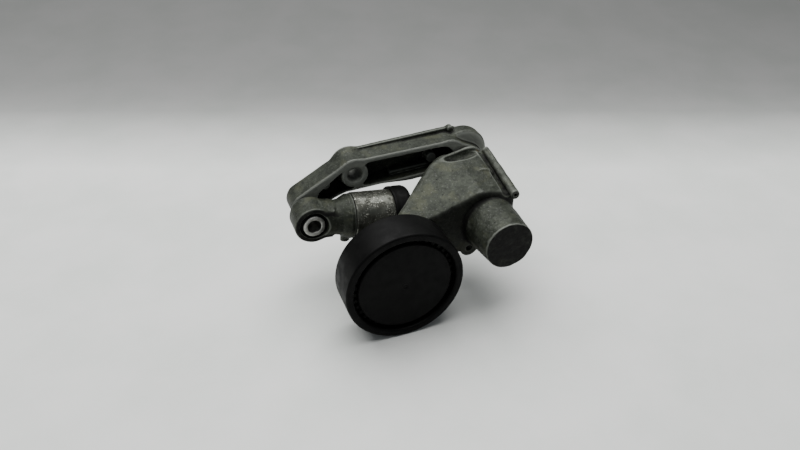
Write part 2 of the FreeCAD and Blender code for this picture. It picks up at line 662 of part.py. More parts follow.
def make_pulley_fastening():
    """Spacer and washer that clamp the bearing's inner ring, and the bolt through them."""
    at = (size.pulley_x, size.pulley_z)
    bolt = size.bolt_radius
    start = size.pulley_back - 1
    back, front = size.bearing_back, size.bearing_front
    sleeve = size.bearing_inner - 0.04
    turned_on_face("pulley_spacer", [
        (bolt + 0.1, start), (10.6, start), (11.4, start + 0.8), (11.4, back), (sleeve, back),
        (sleeve, front - 0.2), (bolt + 0.1, front - 0.2)], *at)
    turned_on_face("clamp_washer", ring_profile(bolt + 0.1, 11, front, front + 1.5), *at)
    body = new_body("pulley_bolt")
    turn(body, [(0, 45), (bolt - 0.8, 45), (bolt, 45.8), (bolt, front + 1.5), (9.4, front + 1.5),
                (9.4, front + 2.3), (8.4, front + 3), (0, front + 3)])
    corners = [(8.66 * math.cos(math.radians(60 * i)), 8.66 * math.sin(math.radians(60 * i)))
               for i in range(6)]
    pad(body, [("polygon", corners)], front + 2.6, front + 6.4, "XY_Plane")
    stand_on_face(body, *at)


# ---------------------------------------------------------------- build, check, write

NODES = [
    "base_bracket", "pivot_bush_front", "pivot_bush_rear", "retaining_washer",
    "strut_eye_end", "eye_rubber_bush", "eye_sleeve", "strut_cylinder", "cylinder_stop_ring",
    "pressure_tube", "valve_seat", "valve_ball", "strut_spring",
    "strut_rod", "strut_piston", "spring_plate", "dust_boot", "lock_nut", "rod_end", "rod_end_bush",
    "tensioner_lever", "pivot_shaft", "retaining_ring", "strut_pin", "pin_washer", "pin_ring",
    "pulley_spacer", "bearing_inner_ring", "clamp_washer", "pulley_bolt",
    "pulley_rim", "dust_cap", "bearing_outer_ring", "bearing_balls", "bearing_cage",
    "bearing_seal_rear", "bearing_seal_front",
]

make_base_bracket()
make_pivot_parts()
make_tensioner_lever()
make_pin_parts()
make_strut_eye_end()
make_eye_bush()
make_cylinder_parts()
make_strut_spring()
make_rod_parts()
make_pulley_rim()
make_dust_cap()
make_bearing()
make_pulley_fastening()
document.recompute()

faults = []
for item in document.Objects:
    if "Invalid" in item.State or "Error" in item.State:
        faults.append("%s: %s" % (item.Label, item.State))
for name in NODES:
    shape = document.getObjectsByLabel(name)[0].Shape
    if shape.isNull() or not shape.isValid() or not shape.Solids:
        faults.append("%s: bad shape" % name)
if faults:
    raise RuntimeError("; ".join(faults))

os.makedirs("parts", exist_ok=True)
for name in NODES:
    shape = document.getObjectsByLabel(name)[0].Shape
    shape.exportStep("parts/%s.step" % name)
    print("%-20s %d solid(s) %9.1f mm3" % (name, len(shape.Solids), shape.Volume))
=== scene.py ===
import json
import math
import bmesh
import bpy
import numpy as np
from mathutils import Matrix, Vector


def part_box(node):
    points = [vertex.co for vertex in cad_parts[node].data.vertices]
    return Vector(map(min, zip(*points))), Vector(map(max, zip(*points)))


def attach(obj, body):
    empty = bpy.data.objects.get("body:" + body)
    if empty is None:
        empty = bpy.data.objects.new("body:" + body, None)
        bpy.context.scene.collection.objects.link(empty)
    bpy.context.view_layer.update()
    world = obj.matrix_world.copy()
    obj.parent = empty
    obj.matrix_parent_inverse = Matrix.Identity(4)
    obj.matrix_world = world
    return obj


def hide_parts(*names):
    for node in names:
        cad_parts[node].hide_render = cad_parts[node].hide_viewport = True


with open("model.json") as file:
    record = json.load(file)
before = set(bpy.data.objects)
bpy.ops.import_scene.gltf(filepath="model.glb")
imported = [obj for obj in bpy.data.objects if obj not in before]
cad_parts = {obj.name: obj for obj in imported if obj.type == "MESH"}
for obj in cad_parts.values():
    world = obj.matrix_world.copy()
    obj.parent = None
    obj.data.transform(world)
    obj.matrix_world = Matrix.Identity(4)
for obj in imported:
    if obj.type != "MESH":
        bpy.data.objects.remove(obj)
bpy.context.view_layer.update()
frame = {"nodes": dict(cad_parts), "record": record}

# A belt tensioner. Blender works in metres; the shapes below are worked out in millimetres in the
# frame's own directions: x to the right, h in front of the engine face (against Y), z up.

MM = 0.001


# ---------------------------------------------------------------- distance fields

class Space:
    """A grid of points round a piece. Fields on it are distances, negative inside the piece."""

    def __init__(self, low, high, step):
        self.low, self.step = np.array(low, float), step
        counts = [int(math.ceil((b - a) / step)) + 1 for a, b in zip(low, high)]
        lines = [low[i] + step * np.arange(counts[i], dtype=np.float32) for i in range(3)]
        self.x = lines[0].astype(np.float32)[:, None, None]
        self.h = lines[1].astype(np.float32)[None, :, None]
        self.z = lines[2].astype(np.float32)[None, None, :]
        self.shape = tuple(counts)


ARC_STEP = math.radians(9)
# how far round a point the fine edges, wide edges and cavities are measured
FINE_REACH, WIDE_REACH, CAVITY_REACH = 0.9, 2.7, 7.0
# values of the attribute of painted shade and grime, besides its amounts from 0 to 1
BARE_FACE, CLEAN_BORE = -1, -2
CLEAN_FROM = 3.0


def hull_outline(circles):
    """Points round a belt stretched over circles (x, z, radius), anticlockwise."""
    count = len(circles)
    if count == 1:
        x, z, radius = circles[0]
        steps = int(2 * math.pi / ARC_STEP)
        return [(x + radius * math.cos(ARC_STEP * i), z + radius * math.sin(ARC_STEP * i))
                for i in range(steps)]
    normals = []
    for i in range(count):
        (ax, az, ar), (bx, bz, br) = circles[i], circles[(i + 1) % count]
        gap = math.hypot(bx - ax, bz - az)
        ux, uz = (bx - ax) / gap, (bz - az) / gap
        lean = (ar - br) / gap
        square = math.sqrt(1 - lean * lean)
        normals.append((ux * lean + uz * square, uz * lean - ux * square))
    points = []
    for i in range(count):
        x, z, radius = circles[i]
        start = math.atan2(normals[i - 1][1], normals[i - 1][0])
        sweep = (math.atan2(normals[i][1], normals[i][0]) - start) % (2 * math.pi)
        steps = max(1, int(math.ceil(sweep / ARC_STEP)))
        for j in range(steps + 1):
            angle = start + sweep * j / steps
            points.append((x + radius * math.cos(angle), z + radius * math.sin(angle)))
    return points


def flat_distance(x, z, points):
    """Distance from a closed outline in the plane of the face."""
    nearest = np.full(np.broadcast(x, z).shape, 1e9, np.float32)
    inside = np.zeros(nearest.shape, bool)
    for (ax, az), (bx, bz) in zip(points, points[1:] + points[:1]):
        ex, ez = bx - ax, bz - az
        if ex * ex + ez * ez < 1e-8:
            continue
        wx, wz = x - ax, z - az
        along = np.clip((wx * ex + wz * ez) / (ex * ex + ez * ez), 0, 1)
        nearest = np.minimum(nearest, (wx - ex * along) ** 2 + (wz - ez * along) ** 2)
        crosses = ((z >= az) != (z >= bz)) & ((ex * wz > ez * wx) == (bz > az))
        inside ^= crosses
    return np.where(inside, -1, 1) * np.sqrt(nearest)


def disc(space, x, z, radius):
    return np.hypot(space.x - x, space.z - z) - radius


def hull(space, *circles):
    """Flat distance from a belt round these circles."""
    return flat_distance(space.x, space.z, hull_outline(circles)).astype(np.float32)


def outline(space, *points):
    return flat_distance(space.x, space.z, list(points)).astype(np.float32)


def slab(space, flat, start, end, edge=1.0, draft=0.0):
    """A flat shape given thickness between two heights, with rounded edges and tapering sides."""
    flat = flat + (space.h - start) * draft
    across = flat + edge
    along = np.abs(space.h - (start + end) / 2) - (end - start) / 2 + edge
    outside = np.hypot(np.maximum(across, 0), np.maximum(along, 0))
    return outside + np.minimum(np.maximum(across, along), 0) - edge


def morph(space, sections):
    """A hull whose circles slide in straight lines from one section (height, circles) to the next."""
    layers = []
    heights = [height for height, circles in sections]
    plane_x, plane_z = space.x[:, 0, :], space.z[:, 0, :]
    for height in space.h[0, :, 0]:
        height = float(min(max(height, heights[0]), heights[-1]))
        i = max(k for k in range(len(heights) - 1) if heights[k] <= height)
        share = (height - heights[i]) / (heights[i + 1] - heights[i])
        circles = [tuple(a + (b - a) * share for a, b in zip(first, second))
                   for first, second in zip(sections[i][1], sections[i + 1][1])]
        layers.append(flat_distance(plane_x, plane_z, hull_outline(circles)))
    return np.stack(layers, axis=1).astype(np.float32)


def between(space, start, end):
    """Distance from the slice of space between two heights."""
    return np.abs(space.h - (start + end) / 2) - (end - start) / 2


def join(a, b, soft=1.5):
    """Union with a fillet."""
    share = np.clip(0.5 + 0.5 * (b - a) / soft, 0, 1)
    return b * (1 - share) + a * share - soft * share * (1 - share)


def cut(a, b, soft=0.5):
    """a without b, with a rounded rim."""
    return -join(-a, b, soft)


def common(a, b, soft=0.5):
    return -join(-a, -b, soft)


def wobble(space, size, seed):
    """Smooth random values from -1 to 1 that change over about this many millimetres."""
    rng = np.random.default_rng(seed)
    weights = []
    for count in space.shape:
        places = np.arange(count) * space.step / size
        cells = int(places[-1]) + 2
        whole = np.minimum(places.astype(int), cells - 2)
        part = places - whole
        part = part * part * (3 - 2 * part)
        table = np.zeros((count, cells), np.float32)
        table[np.arange(count), whole] = 1 - part
        table[np.arange(count), whole + 1] = part
        weights.append(table)
    lattice = rng.uniform(-1, 1, [table.shape[1] for table in weights]).astype(np.float32)
    field = np.tensordot(weights[0], lattice, (1, 0))
    field = np.tensordot(field, weights[1], (1, 1))
    return np.tensordot(field, weights[2], (1, 1))


def box_blur(field, reach):
    """Mean over a cube of 2 * reach + 1 samples."""
    for axis in range(3):
        padded = np.concatenate([np.repeat(np.take(field, [0], axis), reach + 1, axis), field,
                                 np.repeat(np.take(field, [-1], axis), reach, axis)], axis)
        total = np.cumsum(padded, axis, dtype=np.float64)
        size = field.shape[axis]
        ahead = np.take(total, np.arange(2 * reach + 1, 2 * reach + 1 + size), axis)
        behind = np.take(total, np.arange(size), axis)
        field = ((ahead - behind) / (2 * reach + 1)).astype(np.float32)
    return field


def sample(field, places):
    """Values between the grid's points, at places given in grid steps."""
    top = np.array(field.shape) - 2
    cell = np.clip(places.astype(int), 0, top)
    part = np.clip(places - cell, 0, 1)
    total = np.zeros(len(places))
    for i in (0, 1):
        for j in (0, 1):
            for k in (0, 1):
                weight = (np.where(i, part[:, 0], 1 - part[:, 0]) * np.where(j, part[:, 1], 1 - part[:, 1])
                          * np.where(k, part[:, 2], 1 - part[:, 2]))
                total += weight * field[cell[:, 0] + i, cell[:, 1] + j, cell[:, 2] + k]
    return total


CORNERS = [(0, 0, 0), (1, 0, 0), (0, 1, 0), (1, 1, 0), (0, 0, 1), (1, 0, 1), (0, 1, 1), (1, 1, 1)]
EDGES = [(0, 1), (2, 3), (4, 5), (6, 7), (0, 2), (1, 3), (4, 6), (5, 7), (0, 4), (1, 5), (2, 6), (3, 7)]


def skin(field):
    """Quads over the surface where the field is zero: places in grid steps, and their faces."""
    solid = field < 0
    count = sum(solid[i:field.shape[0] - 1 + i, j:field.shape[1] - 1 + j,
                      k:field.shape[2] - 1 + k].astype(np.int8) for i, j, k in CORNERS)
    cells = np.argwhere((count > 0) & (count < 8))
    values = [field[cells[:, 0] + i, cells[:, 1] + j, cells[:, 2] + k] for i, j, k in CORNERS]
    total = np.zeros((len(cells), 3))
    hits = np.zeros(len(cells))
    for a, b in EDGES:
        crossed = (values[a] < 0) != (values[b] < 0)
        gap = np.where(crossed, values[a] - values[b], 1)
        share = np.where(crossed, values[a] / gap, 0)[:, None]
        place = np.array(CORNERS[a]) + share * (np.array(CORNERS[b]) - np.array(CORNERS[a]))
        total += place * crossed[:, None]
        hits += crossed
    places = cells + total / hits[:, None]
    number = np.full(np.array(field.shape) - 1, -1, np.int64)
    number[tuple(cells.T)] = np.arange(len(cells))
    faces = []
    for axis in range(3):
        first = [slice(None)] * 3
        second = [slice(None)] * 3
        first[axis], second[axis] = slice(0, -1), slice(1, None)
        low_solid, high_solid = solid[tuple(first)], solid[tuple(second)]
        for rising in (True, False):
            found = np.argwhere(low_solid & ~high_solid if rising else ~low_solid & high_solid)
            b, c = [other for other in range(3) if other != axis]
            found = found[(found[:, b] > 0) & (found[:, c] > 0)]
            ring = []
            for db, dc in ((1, 1), (0, 1), (0, 0), (1, 0)):
                cell = found.copy()
                cell[:, b] -= db
                cell[:, c] -= dc
                ring.append(number[tuple(cell.T)])
            quads = np.stack(ring, 1)
            if rising == (axis == 1):
                quads = quads[:, ::-1]
            faces.append(quads)
    return places, np.concatenate(faces)


def relax(places, faces, field, rounds=3):
    """Evens out the mesh and puts it back on the surface."""
    slopes = np.gradient(field)
    for turn in range(rounds):
        total = np.zeros_like(places)
        hits = np.zeros(len(places))
        for i in range(4):
            for j in ((i + 1) % 4, (i + 3) % 4):
                for axis in range(3):
                    total[:, axis] += np.bincount(faces[:, i], places[faces[:, j], axis], len(places))
                hits += np.bincount(faces[:, i], minlength=len(places))
        places = places + 0.5 * (total / np.maximum(hits, 1)[:, None] - places)
        for again in range(2):
            slope = np.stack([sample(part, places) for part in slopes], 1)
            square = np.maximum((slope ** 2).sum(1), 0.05)
            places = places - (sample(field, places) / square)[:, None] * slope
    return places


def carve(name, space, field, coats=(), bores=()):
    """The mesh of a field, with how sharp, cornered and enclosed the surface is at each point and how much
    painted shade and grime it gets.

    Coats are ranges of height (start, end, amount) in which the faces that look forward get painted shade
    and caked old oil (up to 1) or are kept clean (BARE_FACE). Bores are circles (x, z, radius) that stay
    clean, without painted shade in their hollows, from CLEAN_FROM forward.
    """
    places, faces = skin(field)
    places = relax(places, faces, field)
    clipped = np.clip(field, -4, 4)
    spots = space.low + places * space.step
    vertices = np.stack([spots[:, 0], -spots[:, 1], spots[:, 2]], 1) * MM
    piece = fill_mesh(name, vertices, faces[:, ::-1])
    filled = np.clip(0.5 - field / space.step, 0, 1)
    measures = {"cavity": 2 * sample(box_blur(filled, int(CAVITY_REACH / space.step)), places) - 1}
    for label, reach in (("fine_edge", FINE_REACH), ("wide_edge", WIDE_REACH)):
        blurred = box_blur(clipped, int(round(reach / space.step)))
        measures[label] = sample(blurred, places) - sample(field, places)
    height = spots[:, 1]
    measures["grime_and_shade"] = np.zeros(len(spots))
    for start, end, amount in coats:
        measures["grime_and_shade"][(height > start) & (height < end)] = amount
    for x, z, radius in bores:
        inside = (np.hypot(spots[:, 0] - x, spots[:, 2] - z) < radius) & (height > CLEAN_FROM)
        measures["cavity"][inside] = -1
        measures["grime_and_shade"][inside] = CLEAN_BORE
    for label, values in measures.items():
        attribute = piece.data.attributes.new(label, "FLOAT", "POINT")
        attribute.data.foreach_set("value", values.astype(np.float32))
    return piece


def fill_mesh(name, vertices, faces):
    mesh = bpy.data.meshes.new(name)
    mesh.vertices.add(len(vertices))
    mesh.vertices.foreach_set("co", np.asarray(vertices, np.float32).ravel())
    faces = np.asarray(faces)
    sides = faces.shape[1]
    mesh.loops.add(faces.size)
    mesh.loops.foreach_set("vertex_index", faces.astype(np.int32).ravel())
    mesh.polygons.add(len(faces))
    mesh.polygons.foreach_set("loop_start", np.arange(0, faces.size, sides, dtype=np.int32))
    mesh.polygons.foreach_set("use_smooth", np.ones(len(faces), bool))
    mesh.update(calc_edges=True)
    mesh.validate()
    piece = bpy.data.objects.new(name, mesh)
    bpy.context.scene.collection.objects.link(piece)
    return piece


# ---------------------------------------------------------------- turned pieces

def soften(loop, size=0.5, steps=3):
    """Rounds the corners of a closed profile of (radius, distance along the axis)."""
    points = []
    for i, (radius, along) in enumerate(loop):
        if radius == 0:
            points.append((radius, along))
            continue
        here = np.array((radius, along))
        sides = []
        for other in (loop[i - 1], loop[(i + 1) % len(loop)]):
            edge = np.array(other) - here
            length = np.hypot(*edge)
            sides.append(here + edge / length * min(size, 0.4 * length))
        for j in range(steps + 1):
            share = j / steps
            points.append(tuple((1 - share) ** 2 * sides[0] + 2 * share * (1 - share) * here
                                + share ** 2 * sides[1]))
    return points


def turned(name, origin, axis, profile, sides=160, stops=()):
    """Sweeps a closed profile round an axis. The profile may depend on the angle."""
    axis = Vector(axis).normalized()
    side = Vector((0, 0, 1)) if abs(axis.z) < 0.9 else Vector((1, 0, 0))
    side = (side - side.dot(axis) * axis).normalized()
    across = axis.cross(side)
    angles = sorted({round(2 * math.pi * i / sides, 6) for i in range(sides)} | set(stops))
    loops = np.array([profile(angle) for angle in angles])
    angles = np.array(angles)[:, None, None]
    spots = (np.array(origin) + loops[:, :, 1:] * np.array(axis)
             + loops[:, :, :1] * (np.cos(angles) * np.array(side) + np.sin(angles) * np.array(across)))
    count, length = loops.shape[:2]
    faces = []
    for i in range(count):
        for j in range(length):
            k, m = (i + 1) % count, (j + 1) % length
            if max(loops[i, j, 0], loops[i, m, 0]) > 0:
                faces.append((i * length + j, i * length + m, k * length + m, k * length + j))
    piece = fill_mesh(name, spots.reshape(-1, 3) * MM, faces)
    work = bmesh.new()
    work.from_mesh(piece.data)
    bmesh.ops.remove_doubles(work, verts=work.verts, dist=1e-6)
    bmesh.ops.dissolve_degenerate(work, edges=work.edges, dist=1e-7)
    if work.calc_volume(signed=True) < 0:
        bmesh.ops.reverse_faces(work, faces=work.faces)
    work.to_mesh(piece.data)
    work.free()
    piece.data.set_sharp_from_angle(angle=math.radians(40))
    return piece


# in radians: the width of a notch's flank, and a margin that keeps its edge inside it
NOTCH_FLANK, NOTCH_MARGIN = 0.004, 0.001


def notch_stops(count, half_width):
    """Angles at which evenly spaced notches begin and end."""
    stops = set()
    for i in range(count):
        middle_angle = 2 * math.pi * (i + 0.5) / count
        for offset in (-half_width - NOTCH_FLANK, -half_width, half_width, half_width + NOTCH_FLANK):
            stops.add(round(middle_angle + offset, 6))
    return stops


def in_notch(angle, count, half_width):
    pitch = 2 * math.pi / count
    return abs((angle % pitch) - pitch / 2) < half_width + NOTCH_MARGIN


# ---------------------------------------------------------------- places

def middle(node):
    """Centre of a round node, as (x, height, z) in millimetres."""
    low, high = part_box(node)
    return ((low.x + high.x) / 2 / MM, -(low.y + high.y) / 2 / MM, (low.z + high.z) / 2 / MM)


def heights(node):
    low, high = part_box(node)
    return -high.y / MM, -low.y / MM


EYE = middle("eye_sleeve")
PIVOT = middle("pivot_shaft")
PIN = middle("strut_pin")
PULLEY = middle("dust_cap")
BRACKET_FRONT = heights("base_bracket")[1]
LEVER_BACK, PLATE_BACK, PLATE_FRONT = 18.0, 53.0, 59.0
NOSE_END = heights("tensioner_lever")[1]
PULLEY_BACK, PULLEY_FRONT = heights("pulley_rim")
STRUT_HEIGHT = EYE[1]
BOLT_HOLE, PIN_BORE, THREAD_BORE, PIVOT_BORE = 4.4, 5.06, 5.06, 6.06
SLEEVE_RADIUS, RUBBER_RADIUS, EYE_RADIUS, EYE_HALF = 7, 9, 12.22, 8.5
STRUT = Vector((PIN[0] - EYE[0], 0, PIN[2] - EYE[2])).normalized()
DOWN = Vector((STRUT.z, 0, -STRUT.x))
STRUT_START = (EYE[0], -STRUT_HEIGHT, EYE[2])


def strut_places(space):
    """Distance along the strut, distance from its axis, and distance below the axis."""
    x, z, h = space.x - EYE[0], space.z - EYE[2], space.h - STRUT_HEIGHT
    along = x * STRUT.x + z * STRUT.z
    below = x * DOWN.x + z * DOWN.z
    return along, np.hypot(below, h), below


def strut_room(space, steps):
    """Distance from the room a casting leaves for the strut. Steps are (along, radius)."""
    along, radius = strut_places(space)[:2]
    limit = np.interp(along, [step[0] for step in steps], [step[1] for step in steps])
    ends = np.maximum(steps[0][0] - along, along - steps[-1][0])
    return np.maximum(radius - limit, ends).astype(np.float32)


def finish_piece(piece, body, node, slot):
    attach(piece, body)
    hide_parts(node)
    piece.data.materials.append(LOOKS[slot])
    return piece


# ---------------------------------------------------------------- castings

def rough_cast(space, seed, depth=0.12):
    return depth * wobble(space, 7, seed) + 0.4 * depth * wobble(space, 2.2, seed + 1)


def make_bracket():
    front, floor = BRACKET_FRONT, 4.0
    eye, pivot = (EYE[0], EYE[2]), (PIVOT[0], PIVOT[2])
    space = Space((-46, -1, -33), (98, front + 1, 18.5), 0.45)
    field = slab(space, hull(space, (-32.2, -17.6, 10.6), (0, 0.5, 10.2)), 0, front, 1.4)
    field = join(field, slab(space, hull(space, (0, -1.8, 11.8), (66, 1, 11.2)), 0, front), 3)
    field = join(field, slab(space, disc(space, 79.5, -2.6, 17), 0, front - 6, 2.5), 2)
    field = join(field, slab(space, hull(space, (66, 1, 11.2), (*pivot, 12.6)), 0, front, 1.5), 2)
    field = join(field, slab(space, hull(space, (6, -1.4, 12.9), (70, 1.8, 13.4)), 0, 3, 0.5), 0.5)
    field = join(field, slab(space, disc(space, 71.5, 14.2, 2.2), 0, 5, 0.8), 1)
    left_tray = hull(space, (-19, -12.6, 6.2), (-4, -2.4, 7))
    right_tray = hull(space, (11, -1.4, 8.2), (61, 0.8, 7.6))
    field = cut(field, slab(space, left_tray, floor, front + 9, 2, -0.03), 1)
    field = cut(field, slab(space, right_tray, floor, front + 9, 2, -0.03), 1)
    field = join(field, slab(space, disc(space, 0, 0, 12.8), 0, front, 0.5, 0.24), 1.2)
    field = join(field, slab(space, disc(space, -18.6, -6.8, 3.6), 2, 11, 0.7, 0.03), 1.2)
    field = join(field, slab(space, disc(space, 55.4, -1, 3.8), 2, 11, 0.7, 0.03), 1.2)
    field = join(field, slab(space, hull(space, (27, -7.8, 1.7), (54, -6.4, 1.7)), 2, 10, 1, 0.03), 1.2)
    field = common(field + rough_cast(space, 1), between(space, 0, front), 0.4)
    field = cut(field, strut_room(space, [(8, 16.5), (30, 16.5), (50, 18.9), (72, 19.3)]), 0.6)
    field = cut(field, slab(space, disc(space, 0, 0, BOLT_HOLE), -2, front + 2, 0), 2.4)
    field = cut(field, slab(space, disc(space, *eye, BOLT_HOLE), -2, front + 2, 0), 0.8)
    field = cut(field, slab(space, disc(space, *pivot, 8), -2, front + 2, 0), 0.6)
    field = cut(field, slab(space, disc(space, *pivot, 11.5), -2, 5.5, 0), 0.6)
    coats = [(10.2, 11.6, BARE_FACE), (front - 1.2, front + 1, BARE_FACE)]
    bores = [(0, 0, 7.6), (-18.6, -6.8, 3.8), (55.4, -1, 4)]
    finish_piece(carve("bracket_casting", space, field, coats, bores), "bracket", "base_bracket",
                 "cast_aluminium")


def make_lever():
    back, plate, front = LEVER_BACK, PLATE_BACK, PLATE_FRONT
    pulley, pivot, pin = (PULLEY[0], PULLEY[2]), (PIVOT[0], PIVOT[2]), (PIN[0], PIN[2])
    space = Space((-6, back - 1, -60), (97.5, NOSE_END + 1, 9.5), 0.5)
    # each outline runs anticlockwise: pulley end, lower right, upper right, top
    shell = morph(space, [
        (back, [(62.5, -6.5, 11.5), (86, -36, 6), (88.5, -1.5, 6.5), (75, -0.6, 6)]),
        (24, [(57, -10, 14), (86.5, -36, 6), (88.5, -2.2, 6.3), (68, -1.6, 6)]),
        (front, [(12, -40, 16.5), (88, -36, 6), (89, -13, 5), (70, -7.5, 3.6)])])
    field = box_blur(common(shell, between(space, back, front), 2), 3)
    field = common(field, between(space, back, front + 5), 1)
    hollow = morph(space, [
        (back - 1, [(64, -75, 6.5), (82, -75, 4), (86.5, -4.5, 4), (76, -4.6, 4), (64, -8.5, 6.5)]),
        (plate, [(22, -75, 12), (83, -75, 4), (84.5, -15.5, 4), (66, -12.5, 3.5), (22, -36, 12)])])
    field = cut(field, common(hollow, between(space, back - 3, plate), 2), 1.2)
    # a thin rim along the back of the roof with a cast pocket in front, and a valley on the right
    field = join(field, slab(space, hull(space, (66, -3, 7.2), (78.5, -4, 11)), back, back + 2.8, 0.9), 0.8)
    pocket = np.sqrt(((space.x - 71) / 12.5) ** 2 + ((space.h - 24.4) / 4.0) ** 2
                     + ((space.z - 5.4 - 0.06 * (space.x - 70)) / 5.0) ** 2)
    field = cut(field, ((pocket - 1) * 4).astype(np.float32), 0.6)
    valley = morph(space, [(back - 1, [(87.8, 5.9, 4.3)]), (front + 1, [(89.0, -7.6, 4.3)])])
    field = cut(field, valley, 0.9)
    field = cut(field, strut_room(space, [(0, 19.4), (73, 19.4)]), 0.8)
    below = outline(space, (0, -26), (60, -31), (60, -75), (0, -75))
    field = cut(field, slab(space, below, back - 9, STRUT_HEIGHT + 17.7, 1), 0.8)
    field = join(field, slab(space, disc(space, pivot[0], pivot[1] - 0.8, 10.4), back, 40, 1, 0.09), 1.5)
    field = join(field, slab(space, hull(space, (*pin, 2.2), (*pivot, 2.2)), 38, plate + 1), 2)
    field = join(field, slab(space, disc(space, *pin, 9.6), 34.4, plate + 1), 1.5)
    field = join(field, slab(space, disc(space, *pulley, 9.2), 44, PULLEY_BACK - 1), 1.2)
    field = join(field, slab(space, hull(space, (*pulley, 2), (66, -38, 2)), 48, plate + 1), 1.5)
    field = join(field, slab(space, hull(space, (63.2, -45.3, 6.2), (70, -36, 8)), plate, front, 0.8), 1.2)
    nose = slab(space, disc(space, 76, -27.4, 18.4), plate, NOSE_END, 1.1, 0.0704)
    field = join(field, nose, 1.4)
    rib = morph(space, [(back, [(91.6, 1.8, 2.6)]), (front + 3, [(92.4, -9.3, 3)])])
    field = join(field, common(rib, between(space, back, front + 3), 0.8), 1.2)
    rugged = np.where(space.h > front + 3, 0.16, 0.0) * wobble(space, 2.6, 11)
    field = field + rough_cast(space, 3) + 0.16 * wobble(space, 4, 9) + rugged.astype(np.float32)
    field = common(field, between(space, back, NOSE_END), 0.6)
    field = cut(field, slab(space, disc(space, *pivot, PIVOT_BORE), 0, 36, 0), 0.5)
    field = cut(field, slab(space, disc(space, *pin, PIN_BORE), 0, 74, 0), 0.5)
    field = cut(field, slab(space, disc(space, *pulley, THREAD_BORE), 40, 70, 0), 0.5)
    field = cut(field, slab(space, disc(space, 63.2, -45.3, 2.3), 40, 70, 0), 0.6)
    field = cut(field, slab(space, disc(space, 92.4, -9.3, 1.1), front - 1, 70, 0), 0.4)
    # the plate and the nose end face forward and get painted shade with old oil
    coats = [(front - 1.5, front + 4, 0.6), (NOSE_END - 1.3, NOSE_END + 1, 1)]
    finish_piece(carve("lever_casting", space, field, coats), "lever", "tensioner_lever", "cast_aluminium")


def make_eye_end():
    space = Space((-46.5, 9.5, -39), (0.5, 43, -4.5), 0.36)
    along, radius, below = strut_places(space)
    neck = flat_distance(along, radius, [(6, -2), (6, 11.2), (15, 11.2), (18, 11.8), (20.6, 13.2),
                                         (23, 14.4), (25.7, 14.5), (25.7, -2)])
    back, front = STRUT_HEIGHT - EYE_HALF, STRUT_HEIGHT + EYE_HALF
    eye = slab(space, disc(space, EYE[0], EYE[2], EYE_RADIUS), back, front, 1.4)
    corners = [Vector((EYE[0], 0, EYE[2])) + STRUT * run + DOWN * drop
               for run, drop in ((0, -9.6), (0, 9.6), (12.4, 9.6), (12.4, -9.6))]
    cheeks = slab(space, outline(space, *[(crevice_shade_and_dirt.x, crevice_shade_and_dirt.z) for crevice_shade_and_dirt in corners]), back, front, 1.5)
    field = join(join(eye, cheeks, 1.2), neck.astype(np.float32), 2.6)
    lump = np.hypot(along - 22.3, space.h - STRUT_HEIGHT - 3.2) - 3
    field = join(field, np.maximum(lump, np.abs(below - 12) - 5), 1.5)
    thread = np.maximum(radius - 10.9, np.abs(along - 27) - 2.9)
    field = join(field, thread, 0.5) + rough_cast(space, 5, 0.1)
    field = cut(field, np.maximum(radius - 7.46, 22.9 - along), 0.4)
    field = cut(field, np.maximum(radius - 6.2, 17.2 - along), 0.4)
    field = cut(field, slab(space, disc(space, EYE[0], EYE[2], 9.04), 0, 60, 0), 0.9)
    # the eye's front face gets painted shade with old oil
    finish_piece(carve("eye_casting", space, field.astype(np.float32), [(front - 1.6, front + 1, 1)]),
                 "strut", "strut_eye_end", "cast_aluminium")


# ---------------------------------------------------------------- turned parts

def fixed(points, size=0.5, steps=3):
    loop = soften(points, size, steps)
    return lambda angle: loop


def make_strut_turnings():
    start, end = 26.2, 54.0
    finish_piece(turned("cylinder_tube", STRUT_START, STRUT, fixed([
        (11, start), (14.7, start), (15, start + 0.5), (15, 34), (14.85, 34.3), (14.85, 35), (15, 35.3),
        (15, end - 1.4), (14.5, end - 0.4), (13.6, end), (12.5, end), (12.5, 52.4), (13.3, 52.4),
        (13.3, 51.2), (12.5, 51.2), (12.5, 30), (11, 30)], 0.3)), "strut", "strut_cylinder",
        "machined_aluminium")
    finish_piece(turned("boot_shell", STRUT_START, STRUT, fixed([
        (15.4, 52), (16.4, 52), (16.8, 53), (16.5, 55), (16.8, 57), (16.8, 61.6), (15.9, 63.8),
        (13.4, 65), (5.4, 65), (4.56, 64.4), (4.56, 63.2), (13, 63.2), (15.4, 61)], 0.8, 4)),
        "rod", "dust_boot", "boot_rubber")
    back, front = STRUT_HEIGHT - EYE_HALF, STRUT_HEIGHT + EYE_HALF
    eye = (EYE[0], 0, EYE[2])
    finish_piece(turned("sleeve_ring", eye, (0, -1, 0), fixed([
        (BOLT_HOLE, back - 0.3), (SLEEVE_RADIUS, back - 0.3), (SLEEVE_RADIUS, front + 0.3),
        (BOLT_HOLE, front + 0.3)], 0.35)),
        "strut", "eye_sleeve", "bright_steel")
    finish_piece(turned("rubber_ring", eye, (0, -1, 0), fixed([
        (SLEEVE_RADIUS, back + 0.7), (7.9, back + 1.3), (RUBBER_RADIUS, back + 0.9),
        (RUBBER_RADIUS, front - 0.9), (7.9, front - 1.3), (SLEEVE_RADIUS, front - 0.7)], 0.4)),
        "strut", "eye_rubber_bush", "boot_rubber")


RIM_RIBS, RIB_HALF = 12, math.radians(1.8)
CAP_NOTCHES, NOTCH_HALF = 40, math.radians(2.1)


